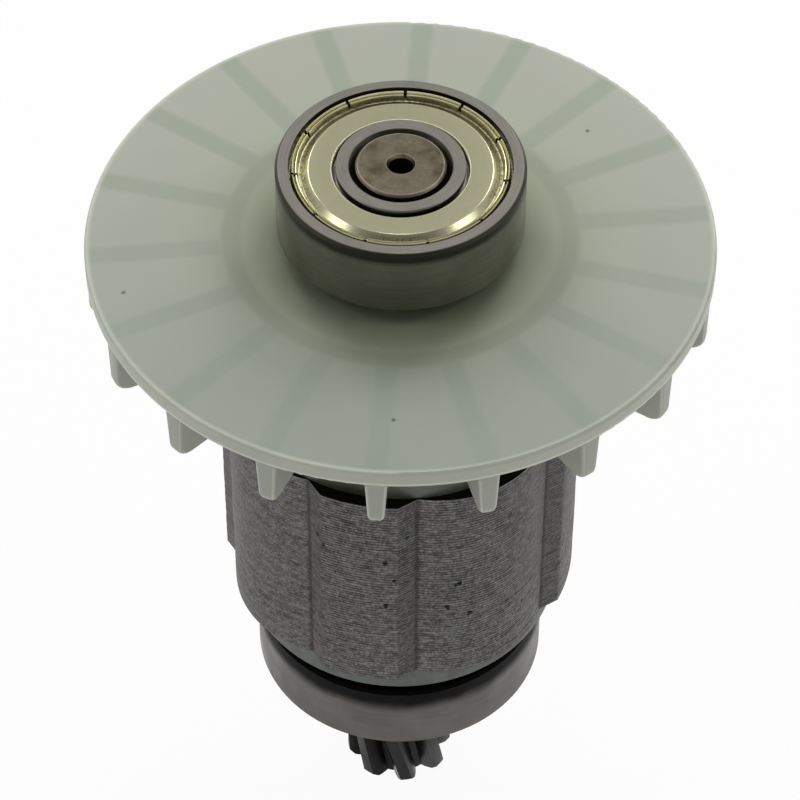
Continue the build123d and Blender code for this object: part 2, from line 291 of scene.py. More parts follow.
def naturalNylon(s):
    material, tree = startMaterial("naturalNylonMoulded")
    lathe = latheCoordinates(tree)
    radius, height = lathe["radius"], lathe["height"]
    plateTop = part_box("fan")[1].z * 1000
    plateFoot = plateTop - s["plateThickness"]
    share = addNode(tree, "Math", {0: radius, 1: s["radius"]}, operation='DIVIDE')
    colour = addNode(tree, "ValToRGB", {0: share}, stops=s["plateZones"])
    onTop = addNode(tree, "MapRange", {
        0: height, 1: plateTop - 0.3, 2: plateTop - 0.05,
    }, interpolation_type='SMOOTHSTEP')

    # distance from the side of the nearest blade, in mm, below zero inside it
    pitch = 360 / s["bladeCount"]
    betweenBlades = s["bladePhase"] - pitch / 2
    turns = addNode(tree, "Math", {0: lathe["angle"], 1: betweenBlades}, operation='SUBTRACT')
    turns = addNode(tree, "Math", {0: turns, 1: pitch}, operation='DIVIDE')
    turns = addNode(tree, "Math", {0: turns}, operation='FRACT')
    offLine = addNode(tree, "Math", {0: turns, 1: 0.5}, operation='SUBTRACT')
    arc = addNode(tree, "Math", {0: offLine, 1: math.radians(pitch)}, operation='MULTIPLY')
    sine = addNode(tree, "Math", {0: arc}, operation='SINE')
    across = addNode(tree, "Math", {0: sine, 1: radius}, operation='MULTIPLY')
    across = addNode(tree, "Math", {0: across}, operation='ABSOLUTE')
    drop = addNode(tree, "Math", {0: plateFoot, 1: height}, operation='SUBTRACT')
    taper = addNode(tree, "Math", {
        0: drop, 1: -math.tan(math.radians(s["bladeDraft"])), 2: s["bladeWidth"] / 2,
    }, operation='MULTIPLY_ADD')
    fromBlade = addNode(tree, "Math", {0: across, 1: taper}, operation='SUBTRACT')
    atFoot = addNode(tree, "Math", {0: across, 1: s["bladeWidth"] / 2}, operation='SUBTRACT')

    # blades below the plate, showing through as a greener stripe: painted shade where they hold
    # back the light that comes up through the plate, fainter at the front
    stripe = addNode(tree, "MapRange", {
        0: atFoot, 1: -s["softEdge"], 2: s["softEdge"], 3: 1.0, 4: 0.0,
    }, interpolation_type='SMOOTHSTEP')
    outside = addNode(tree, "MapRange", {
        0: radius, 1: s["hubWall"][1] - 0.3, 2: s["hubWall"][1] + 0.5,
    }, interpolation_type='SMOOTHSTEP')
    strength = addNode(tree, "MapRange", {
        0: lathe["back"], 1: -s["bladeReach"], 2: s["bladeReach"],
        3: s["bladeShadeFront"], 4: s["bladeShadeBack"],
    })
    stripe = addNode(tree, "Math", {0: stripe, 1: outside}, operation='MULTIPLY')
    stripe = addNode(tree, "Math", {0: stripe, 1: strength}, operation='MULTIPLY')
    stripe = addNode(tree, "Math", {0: stripe, 1: onTop}, operation='MULTIPLY')
    colour = addNode(tree, "Mix", {0: stripe, 6: colour, 7: s["bladeShade"]}, data_type='RGBA')

    # the hub's wall showing through as a soft darker ring: painted shade where it holds back the
    # light that comes up through the plate
    ring = addNode(tree, "MapRange", {
        0: radius, 1: s["hubWall"][0] - 0.4, 2: s["hubWall"][0] + 0.4,
    }, interpolation_type='SMOOTHSTEP')
    ringEnd = addNode(tree, "MapRange", {
        0: radius, 1: s["hubWall"][1] - 0.35, 2: s["hubWall"][1] + 0.45, 3: 1.0, 4: 0.0,
    }, interpolation_type='SMOOTHSTEP')
    ring = addNode(tree, "Math", {0: ring, 1: ringEnd}, operation='MULTIPLY')
    ring = addNode(tree, "Math", {0: ring, 1: s["hubStrength"]}, operation='MULTIPLY')
    ring = addNode(tree, "Math", {0: ring, 1: onTop}, operation='MULTIPLY')
    colour = addNode(tree, "Mix", {0: ring, 6: colour, 7: s["hubShade"]}, data_type='RGBA')

    # painted shade: greener and darker towards the front, where less light comes up through the
    # plate
    front, back = s["frontReach"]
    dim = addNode(tree, "MapRange", {0: lathe["back"], 1: front, 2: back, 3: 1.0, 4: 0.0})
    dim = addNode(tree, "Math", {0: dim, 1: onTop}, operation='MULTIPLY')
    colour = addNode(tree, "Mix", {
        0: dim, 6: colour, 7: s["paintedFrontShade"],
    }, data_type='RGBA', blend_type='MULTIPLY')

    # painted shade: the hub's side below the plate darkened, deep between the blades where little
    # light gets in
    below = addNode(tree, "MapRange", {0: height, 1: plateFoot - 0.3, 2: plateFoot, 3: 1.0, 4: 0.0})
    hub, air = s["hubOutside"]
    inside = addNode(tree, "MapRange", {0: radius, 1: hub, 2: air, 3: 1.0, 4: 0.0})
    paintedShadeOnHub = addNode(tree, "Math", {0: below, 1: inside}, operation='MULTIPLY')
    colour = addNode(tree, "Mix", {0: paintedShadeOnHub, 6: colour, 7: s["paintedShadeBelowPlate"]}, data_type='RGBA')

    # thin bright lines where the moulding's edges catch the light: blade ends and the rim's foot
    line = addNode(tree, "MapRange", {
        0: gapFrom(tree, fromBlade, -s["edgeLine"]), 1: 0.0, 2: s["edgeLine"],
        3: s["edgeStrength"], 4: 0.0,
    }, interpolation_type='SMOOTHSTEP')
    onBlade = addNode(tree, "MapRange", {
        0: height, 1: plateFoot - 0.35, 2: plateFoot - 0.15, 3: 1.0, 4: 0.0,
    })
    atEnd = addNode(tree, "MapRange", {0: radius, 1: s["radius"] - 0.6, 2: s["radius"] - 0.25})
    line = addNode(tree, "Math", {0: line, 1: onBlade}, operation='MULTIPLY')
    line = addNode(tree, "Math", {0: line, 1: atEnd}, operation='MULTIPLY')
    colour = addNode(tree, "Mix", {0: line, 6: colour, 7: s["edgeLight"]}, data_type='RGBA')
    # painted light: the rim's whole side lighter, as light comes through the thin nylon there
    onRim = addNode(tree, "MapRange", {0: height, 1: plateFoot + 0.05, 2: plateFoot + 0.15})
    onRim = addNode(tree, "Math", {0: onRim, 1: atEnd}, operation='MULTIPLY')
    onRim = addNode(tree, "Math", {0: onRim, 1: s["rimStrength"]}, operation='MULTIPLY')
    colour = addNode(tree, "Mix", {0: onRim, 6: colour, 7: s["rimLight"]}, data_type='RGBA')
    rimFoot = addNode(tree, "MapRange", {
        0: gapFrom(tree, height, plateFoot + s["rimFoot"]), 1: 0.0, 2: 0.2,
        3: s["rimFootStrength"], 4: 0.0,
    }, interpolation_type='SMOOTHSTEP')
    rimFoot = addNode(tree, "Math", {0: rimFoot, 1: atEnd}, operation='MULTIPLY')
    colour = addNode(tree, "Mix", {0: rimFoot, 6: colour, 7: s["edgeLight"]}, data_type='RGBA')

    # slow clouding from the flow in the mould, a few dark specks and a faint grain
    cloud = addNode(tree, "TexNoise", {
        "Vector": lathe["place"], "Scale": 1 / s["cloudMm"], "Detail": 3.0,
    })
    cloud = addNode(tree, "MapRange", {0: cloud, 1: 0.35, 2: 0.65, 3: 0.0, 4: 0.22})
    colour = addNode(tree, "Mix", {0: cloud, 6: colour, 7: s["cloudShade"]}, data_type='RGBA')
    core, end = s["speckRadius"]
    for x, y in s["specks"]:
        away = addNode(tree, "VectorMath", {
            0: lathe["place"], 1: (x, y, plateTop),
        }, operation='DISTANCE')
        dot = addNode(tree, "MapRange", {0: away, 1: core, 2: end, 3: 0.75, 4: 0.0})
        colour = addNode(tree, "Mix", {0: dot, 6: colour, 7: s["speckShade"]}, data_type='RGBA')
    grain = addNode(tree, "TexNoise", {
        "Vector": lathe["place"], "Scale": 1 / s["grainMm"], "Detail": 3.0,
    })
    bump = addNode(tree, "Bump", {"Height": grain, "Strength": 0.12, "Distance": 0.00002})
    shader = addNode(tree, "BsdfPrincipled", {
        "Base Color": colour, "Roughness": s["roughness"], "IOR": 1.53, "Normal": bump,
        "Subsurface Weight": 0.15, "Subsurface Radius": (1.0, 1.0, 0.8), "Subsurface Scale": 0.001,
    })
    addNode(tree, "OutputMaterial", {"Surface": shader})
    return material


paint("fan", naturalNylon(fanFinish))

# End plate: the same nylon, grey and oily from the bearing below it
plateFinish = {
    "clean": "#5E645C", "oily": "#474C45", "stainMm": 2.0, "grainMm": 0.4, "roughness": 0.45,
}


def oiledNylon(s):
    material, tree = startMaterial("naturalNylonOiled")
    lathe = latheCoordinates(tree)
    stain = addNode(tree, "TexNoise", {
        "Vector": lathe["place"], "Scale": 1 / s["stainMm"], "Detail": 4.0,
    })
    stain = addNode(tree, "MapRange", {0: stain, 1: 0.35, 2: 0.65})
    colour = addNode(tree, "Mix", {0: stain, 6: s["clean"], 7: s["oily"]}, data_type='RGBA')
    grain = addNode(tree, "TexNoise", {
        "Vector": lathe["place"], "Scale": 1 / s["grainMm"], "Detail": 3.0,
    })
    bump = addNode(tree, "Bump", {"Height": grain, "Strength": 0.15, "Distance": 0.00002})
    shader = addNode(tree, "BsdfPrincipled", {
        "Base Color": colour, "Roughness": s["roughness"], "IOR": 1.53, "Normal": bump,
    })
    addNode(tree, "OutputMaterial", {"Surface": shader})
    return material


paint("lower_end_plate", oiledNylon(plateFinish))
print("nylon done")

# Bearing rings: ground bearing steel. Faces brighter than the sides; chamfers and the top of the
# outer side darkened by painted shade
ringFinish = {
    "upper": {
        "bore": 4.0, "face": "#928E86", "side": "#8C897F", "corner": "#302F27",
        "roughness": 0.30, "acrossMm": 0.16, "alongMm": 5.0, "paintedTopShadow": None,
    },
    # painted shade: darker colours than the upper ring's, for the shade the lower ring stands in
    # under the core
    "lower": {
        "bore": 6.0, "face": "#7A7772", "side": "#63605D", "corner": "#3B3A38",
        "roughness": 0.40, "acrossMm": 0.30, "alongMm": 4.0,
        # painted shadow of the core: colour, and how far below the ring's face it is thick and
        # where it ends, in mm
        "paintedTopShadow": ("#0B0C0B", 1.3, 3.2),
    },
}


def groundSteel(name, node, bore, s):
    # face and side tell apart by height, the dark chamfers by height and radius;
    # a bore of 0 leaves the ring without the inner chamfer
    material, tree = startMaterial(name)
    lathe = latheCoordinates(tree)
    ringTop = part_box(node)[1].z * 1000
    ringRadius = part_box(node)[1].x * 1000
    lines = ringLines(tree, lathe, s["acrossMm"], s["alongMm"])
    onFace = addNode(tree, "MapRange", {0: lathe["height"], 1: ringTop - 0.12, 2: ringTop - 0.04})
    colour = addNode(tree, "Mix", {0: onFace, 6: s["side"], 7: s["face"]}, data_type='RGBA')
    fine = addNode(tree, "MapRange", {0: lines, 1: 0.35, 2: 0.65, 3: 0.0, 4: 0.16})
    colour = addNode(tree, "Mix", {0: fine, 6: colour, 7: s["corner"]}, data_type='RGBA')
    # painted shade: the outer chamfer with a band down the top of the outer side, and the bore's
    # chamfer, darkened
    below = addNode(tree, "MapRange", {
        0: lathe["height"], 1: ringTop - 0.06, 2: ringTop, 3: 1.0, 4: 0.0,
    })
    outer = addNode(tree, "MapRange", {
        0: lathe["radius"], 1: ringRadius - 0.30, 2: ringRadius - 0.22,
    })
    above = addNode(tree, "MapRange", {0: lathe["height"], 1: ringTop - 1.40, 2: ringTop - 0.80})
    corner = addNode(tree, "Math", {0: below, 1: outer}, operation='MULTIPLY')
    corner = addNode(tree, "Math", {0: corner, 1: above}, operation='MULTIPLY')
    inside = addNode(tree, "MapRange", {
        0: lathe["radius"], 1: bore + 0.52, 2: bore + 0.62, 3: 1.0, 4: 0.0,
    })
    corner = addNode(tree, "Math", {0: corner, 1: inside}, operation='MAXIMUM')
    corner = addNode(tree, "Math", {0: corner, 1: 0.92}, operation='MULTIPLY')
    colour = addNode(tree, "Mix", {0: corner, 6: colour, 7: s["corner"]}, data_type='RGBA')
    haze = addNode(tree, "TexNoise", {"Vector": lathe["place"], "Scale": 0.28, "Detail": 3.0})
    shade = addNode(tree, "MapRange", {0: haze, 1: 0.4, 2: 0.7, 3: 0.0, 4: 0.22})
    colour = addNode(tree, "Mix", {0: shade, 6: colour, 7: s["corner"]}, data_type='RGBA')
    if s["paintedTopShadow"]:
        # painted shadow of the core over the ring's upper edge, black and fading out downwards
        black, thick, end = s["paintedTopShadow"]
        wander = addNode(tree, "TexNoise", {"Vector": lathe["place"], "Scale": 0.35, "Detail": 2.0})
        edge = addNode(tree, "Math", {
            0: wander, 1: 0.9, 2: lathe["height"],
        }, operation='MULTIPLY_ADD')
        paintedTopShadow = addNode(tree, "MapRange", {
            0: edge, 1: ringTop - end + 0.45, 2: ringTop - thick + 0.45,
        }, interpolation_type='SMOOTHSTEP')
        colour = addNode(tree, "Mix", {0: paintedTopShadow, 6: colour, 7: black}, data_type='RGBA')
    rough = addNode(tree, "MapRange", {
        0: haze, 1: 0.3, 2: 0.7, 3: s["roughness"] - 0.04, 4: s["roughness"] + 0.07,
    })
    if s["paintedTopShadow"]:
        rough = addNode(tree, "Math", {0: paintedTopShadow, 1: 0.25, 2: rough}, operation='MULTIPLY_ADD')
    bump = addNode(tree, "Bump", {"Height": lines, "Strength": 0.06, "Distance": 0.00001})
    shader = addNode(tree, "BsdfPrincipled", {
        "Base Color": colour, "Metallic": 1.0, "Roughness": rough, "Normal": bump,
    })
    addNode(tree, "OutputMaterial", {"Surface": shader})
    return material


# Shields, balls and cages: zinc-plated pressings, polished balls, pressed steel
shieldFinish = {
    "plated": "#BEBB9B", "hazy": "#B0AD8D", "dustAndShade": "#4F4C36", "roughness": 0.22,
    # painted highlight along the inner edge: its colour and radii
    "edge": "#F0EDD4", "paintedGlintRadius": (6.11, 6.17),
    "dustRadius": (8.10, 8.35), "dustDepth": (0.50, 0.36), "dustMm": 0.20, "dishRadius": 8.8,
    # how dark the dish is from front to back: oily dust at the very front, painted shade on the
    # sides and back, none to the left and right of the front
    "dishDustAndShadePlaces": (
        (0.0, "#FFFFFF"), (0.04, "#D0D0D0"), (0.08, "#383838"), (0.22, "#303030"),
        (0.32, "#F0F0F0"),
    ),
}


def zincPlate(s):
    # even, silky and slightly yellow; the dish round its rim dark with oily dust and painted shade,
    # a painted highlight along the inner edge
    material, tree = startMaterial("yellowZincPlate")
    lathe = latheCoordinates(tree)
    haze = addNode(tree, "TexNoise", {"Vector": lathe["place"], "Scale": 0.6, "Detail": 3.0})
    haze = addNode(tree, "MapRange", {0: haze, 1: 0.35, 2: 0.7})
    colour = addNode(tree, "Mix", {0: haze, 6: s["plated"], 7: s["hazy"]}, data_type='RGBA')
    # painted highlight: a thin bright ring along the shield's inner edge
    shiny, plain = s["paintedGlintRadius"]
    edge = addNode(tree, "MapRange", {0: lathe["radius"], 1: shiny, 2: plain, 3: 0.8, 4: 0.0})
    colour = addNode(tree, "Mix", {0: edge, 6: colour, 7: s["edge"]}, data_type='RGBA')
    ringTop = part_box("upper_bearing_outer_ring")[1].z * 1000
    bare, covered = s["dustRadius"]
    dish = addNode(tree, "MapRange", {0: lathe["radius"], 1: bare, 2: covered})
    bottom, top = (ringTop - depth for depth in s["dustDepth"])
    deep = addNode(tree, "MapRange", {0: lathe["height"], 1: bottom, 2: top, 3: 1.0, 4: 0.0})
    place = addNode(tree, "MapRange", {0: lathe["back"], 1: -s["dishRadius"], 2: s["dishRadius"]})
    place = addNode(tree, "ValToRGB", {0: place}, stops=s["dishDustAndShadePlaces"])
    dish = addNode(tree, "Math", {0: dish, 1: deep}, operation='MULTIPLY')
    dish = addNode(tree, "Math", {0: dish, 1: place}, operation='MULTIPLY')
    dust = addNode(tree, "TexNoise", {
        "Vector": lathe["place"], "Scale": 1 / s["dustMm"], "Detail": 2.0,
    })
    dust = addNode(tree, "MapRange", {0: dust, 1: 0.45, 2: 0.62, 3: 0.45, 4: 0.9})
    dust = addNode(tree, "Math", {0: dust, 1: dish}, operation='MULTIPLY')
    colour = addNode(tree, "Mix", {0: dust, 6: colour, 7: s["dustAndShade"]}, data_type='RGBA')
    rough = addNode(tree, "MapRange", {
        0: haze, 1: 0.0, 2: 1.0, 3: s["roughness"], 4: s["roughness"] + 0.05,
    })
    rough = addNode(tree, "Math", {0: dust, 1: 0.2, 2: rough}, operation='MULTIPLY_ADD')
    bump = addNode(tree, "Bump", {"Height": dust, "Strength": 0.1, "Distance": 0.00001})
    shader = addNode(tree, "BsdfPrincipled", {
        "Base Color": colour, "Metallic": 1.0, "Roughness": rough, "Normal": bump,
    })
    addNode(tree, "OutputMaterial", {"Surface": shader})
    return material


def brightSteel(name, colour, worn, roughness):
    # polished or pressed steel with faint wear
    material, tree = startMaterial(name)
    lathe = latheCoordinates(tree)
    wear = addNode(tree, "TexNoise", {"Vector": lathe["place"], "Scale": 1.5, "Detail": 3.0})
    wear = addNode(tree, "MapRange", {0: wear, 1: 0.4, 2: 0.7, 3: 0.0, 4: 0.4})
    shade = addNode(tree, "Mix", {0: wear, 6: colour, 7: worn}, data_type='RGBA')
    rough = addNode(tree, "MapRange", {0: wear, 1: 0.0, 2: 0.4, 3: roughness, 4: roughness + 0.08})
    shader = addNode(tree, "BsdfPrincipled", {
        "Base Color": shade, "Metallic": 1.0, "Roughness": rough,
    })
    addNode(tree, "OutputMaterial", {"Surface": shader})
    return material


zinc = zincPlate(shieldFinish)
ballSteel = brightSteel("polishedBallSteel", "#C9C9CA", "#A3A2A0", 0.10)
cageSteel = brightSteel("pressedCageSteel", "#9B9893", "#77746E", 0.33)
for size in ("upper", "lower"):
    outerNode = size + "_bearing_outer_ring"
    innerNode = size + "_bearing_inner_ring"
    outerFinish = ringFinish[size]
    innerFinish = {**outerFinish, "paintedTopShadow": None}
    paint(outerNode, groundSteel(size + "OuterRingSteel", outerNode, 0.0, outerFinish))
    innerSteel = groundSteel(size + "InnerRingSteel", innerNode, outerFinish["bore"], innerFinish)
    paint(innerNode, innerSteel)
    paint(size + "_bearing_balls", ballSteel)
    paint(size + "_bearing_cage", cageSteel)
    paint(size + "_bearing_top_shield", zinc)
    paint(size + "_bearing_bottom_shield", zinc)

# Top shield: pressed with a flat, a dish and a rolled rim, slit so that it snaps into the ring
shieldForm = {
    # radius and depth below the ring's face, in mm, from the bore out over the top and back below
    "section": (
        (6.01, 0.42), (6.06, 0.36), (6.12, 0.35), (6.25, 0.35), (8.02, 0.35),
        (8.07, 0.353), (8.12, 0.375), (8.17, 0.41), (8.64, 0.74), (8.72, 0.785),
        (8.82, 0.80), (8.92, 0.76), (8.99, 0.62), (9.03, 0.40), (9.07, 0.24), (9.12, 0.18),
        (9.18, 0.20), (9.23, 0.34), (9.28, 0.44), (9.33, 0.34), (9.37, 0.20), (9.42, 0.13),
        (9.49, 0.12), (9.55, 0.18), (9.58, 0.32), (9.60, 0.60), (9.66, 0.84),
        (9.78, 0.85), (9.78, 1.10), (8.80, 1.10), (8.50, 0.95), (8.20, 0.74), (7.95, 0.60),
        (6.01, 0.60),
    ),
    "steps": 176,
    "slitCount": 11,
    "slitPhase": 87.7,
    "slitWidth": 0.30,
    "slitLength": 1.2,
    "slitDepth": 1.0,
    "slitFrom": 8.98,
    "smoothAngle": 38,
}


def pressShield(s):
    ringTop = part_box("upper_bearing_outer_ring")[1].z
    bpy.ops.mesh.primitive_circle_add(vertices=len(s["section"]), radius=0.001)
    shield = bpy.context.object
    shield.name = "pressedShield"
    for vertex, (radius, depth) in zip(shield.data.vertices, s["section"]):
        vertex.co = (radius / 1000, 0.0, ringTop - depth / 1000)
    bpy.ops.object.mode_set(mode='EDIT')
    bpy.ops.mesh.select_all(action='SELECT')
    bpy.ops.mesh.spin(steps=s["steps"], angle=2 * math.pi, center=(0, 0, 0), axis=(0, 0, 1))
    bpy.ops.mesh.select_all(action='SELECT')
    bpy.ops.mesh.remove_doubles(threshold=0.000002)
    bpy.ops.mesh.normals_make_consistent(inside=False)
    bpy.ops.object.mode_set(mode='OBJECT')
    shield.select_set(False)

    # one cutter blade, copied round the rim
    bpy.ops.mesh.primitive_cube_add(size=0.001, location=(0, 0, 0))
    cutter = bpy.context.object
    cutter.name = "slitCutter"
    bpy.ops.object.mode_set(mode='EDIT')
    bpy.ops.mesh.select_all(action='SELECT')
    bpy.ops.transform.resize(value=(s["slitLength"], s["slitWidth"], s["slitDepth"]))
    middle = (s["slitFrom"] + s["slitLength"] / 2) / 1000
    bpy.ops.transform.translate(value=(middle, 0, ringTop - s["slitDepth"] / 2000))
    turn = -math.radians(s["slitPhase"])
    bpy.ops.transform.rotate(value=turn, orient_axis='Z', center_override=(0, 0, 0))
    for number in range(s["slitCount"] - 1):
        bpy.ops.mesh.duplicate()
        bpy.ops.transform.rotate(
            value=-2 * math.pi / s["slitCount"], orient_axis='Z', center_override=(0, 0, 0),
        )
    bpy.ops.object.mode_set(mode='OBJECT')
    cutter.select_set(False)
    bpy.context.view_layer.objects.active = shield
    shield.select_set(True)
    cut = shield.modifiers.new("slits", 'BOOLEAN')
    cut.object = cutter
    cut.operation = 'DIFFERENCE'
    cut.solver = 'EXACT'
    bpy.ops.object.modifier_apply(modifier=cut.name)
    bpy.ops.object.shade_smooth_by_angle(angle=math.radians(s["smoothAngle"]))
    bpy.data.objects.remove(cutter)
    shield.data.materials.clear()
    shield.data.materials.append(zinc)
    shield.select_set(False)
    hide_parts("upper_bearing_top_shield")
    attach(shield, "upper_ring")


pressShield(shieldForm)
print("bearings done")

# Shaft: end face turned and gone brown, pinion hardened and left black. Lengths in mm
shaftFinish = {
    "turned": "#807868", "tarnish": "#4A4435", "edge": "#D8D2C2",
    "black": "#0C0C0C", "worn": "#282726",
    "pinionTop": 18.64, "toothRadius": (4.3, 5.3), "endRadius": 3.8, "holeRadius": 1.27,
}


def shaftSteel(s):
    material, tree = startMaterial("turnedAndBlackedSteel")
    lathe = latheCoordinates(tree)
    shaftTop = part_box("shaft")[1].z * 1000
    lines = ringLines(tree, lathe, 0.22, 2.0)
    stain = addNode(tree, "TexNoise", {
        "Vector": lathe["place"], "Scale": 0.55, "Detail": 6.0, "Roughness": 0.62,
    })
    stain = addNode(tree, "MapRange", {0: stain, 1: 0.38, 2: 0.66})
    turned = addNode(tree, "Mix", {0: stain, 6: s["turned"], 7: s["tarnish"]}, data_type='RGBA')
    marks = addNode(tree, "MapRange", {0: lines, 1: 0.35, 2: 0.65, 3: 0.0, 4: 0.25})
    turned = addNode(tree, "Mix", {0: marks, 6: turned, 7: s["tarnish"]}, data_type='RGBA')
    # the sharp edge of the end face shines, that of its centre hole a little less
    rimGap = gapFrom(tree, lathe["radius"], s["endRadius"])
    holeGap = gapFrom(tree, lathe["radius"], s["holeRadius"])
    holeGap = addNode(tree, "Math", {0: holeGap, 1: 0.04}, operation='ADD')
    gap = addNode(tree, "Math", {0: rimGap, 1: holeGap}, operation='MINIMUM')
    shine = addNode(tree, "MapRange", {0: gap, 1: 0.02, 2: 0.11, 3: 0.65, 4: 0.0})
    onEnd = addNode(tree, "MapRange", {0: lathe["height"], 1: shaftTop - 0.15, 2: shaftTop - 0.02})
    shine = addNode(tree, "Math", {0: shine, 1: onEnd}, operation='MULTIPLY')
    shine = addNode(tree, "Math", {0: shine, 1: lines}, operation='MULTIPLY')
    turned = addNode(tree, "Mix", {0: shine, 6: turned, 7: s["edge"]}, data_type='RGBA')
    # pinion: tips rubbed a little lighter than the valleys
    valley, tip = s["toothRadius"]
    tips = addNode(tree, "MapRange", {0: lathe["radius"], 1: valley, 2: tip})
    black = addNode(tree, "Mix", {0: tips, 6: s["black"], 7: s["worn"]}, data_type='RGBA')
    fine = addNode(tree, "TexNoise", {"Vector": lathe["place"], "Scale": 2.5, "Detail": 4.0})
    fine = addNode(tree, "MapRange", {0: fine, 1: 0.4, 2: 0.7, 3: 0.0, 4: 0.4})
    black = addNode(tree, "Mix", {0: fine, 6: black, 7: s["black"]}, data_type='RGBA')
    onPinion = addNode(tree, "MapRange", {
        0: lathe["height"], 1: s["pinionTop"] - 0.05, 2: s["pinionTop"], 3: 1.0, 4: 0.0,
    })
    colour = addNode(tree, "Mix", {0: onPinion, 6: turned, 7: black}, data_type='RGBA')
    rough = addNode(tree, "MapRange", {0: stain, 1: 0.0, 2: 1.0, 3: 0.30, 4: 0.45})
    bump = addNode(tree, "Bump", {"Height": stain, "Strength": 0.12, "Distance": 0.00003})
    shader = addNode(tree, "BsdfPrincipled", {
        "Base Color": colour, "Metallic": 1.0, "Roughness": rough, "Normal": bump,
    })
    addNode(tree, "OutputMaterial", {"Surface": shader})
    return material


paint("shaft", shaftSteel(shaftFinish))
print("shaft done")

# Core: thin sheets of electrical steel, stamped and locked in one stack, thinly varnished
coreStack = {
    "sheets": 71,
    "radius": 16.8,
    # the outside wall lies beyond this radius, the bore and the magnets' slots within it
    "wallRadius": 15.3,
    "flatShare": 0.74,
    "grooveMm": 0.035,
    "slipMm": 0.014,
    "seed": 7,
    "smoothAngle": 25,
}
coreFinish = {
    "edge": "#72706E", "dark": "#383735", "light": "#93918E", "seam": "#0A0A09",
    "topFacePaintedShade": "#26271C", "warm": "#6E5E58", "cool": "#58656C",
    "paintedNotchShade": "#242322",
    "grainMm": 0.26,
    "roughness": 0.46,
    # angles of the side where the seams are open and of the middle of one narrow pole
    "openAngle": -82.0,
    "poleAngle": -102.85,
    # from the middle of a narrow pole to the middle and to the foot of its notch's wall
    "wallAngle": 15.5,
    "footAngle": 18.5,
    "pitBlack": "#060606",
    "pitRadius": 16.6,
    # angle from the front, then height from the core's foot and size in mm of the rust pits
    "pits": (
        (-26.9, 19.0, 0.22), (-24.7, 18.2, 0.20), (-21.0, 17.7, 0.17), (-19.9, 15.0, 0.14),
        (-4.5, 17.3, 0.29), (-1.6, 14.8, 0.21), (-4.4, 11.1, 0.27), (2.4, 20.4, 0.24),
        (8.5, 23.8, 0.15), (19.5, 13.0, 0.29), (18.3, 12.8, 0.21), (15.4, 9.7, 0.29),
        (23.2, 8.3, 0.28), (44.0, 6.0, 0.14),
    ),
}


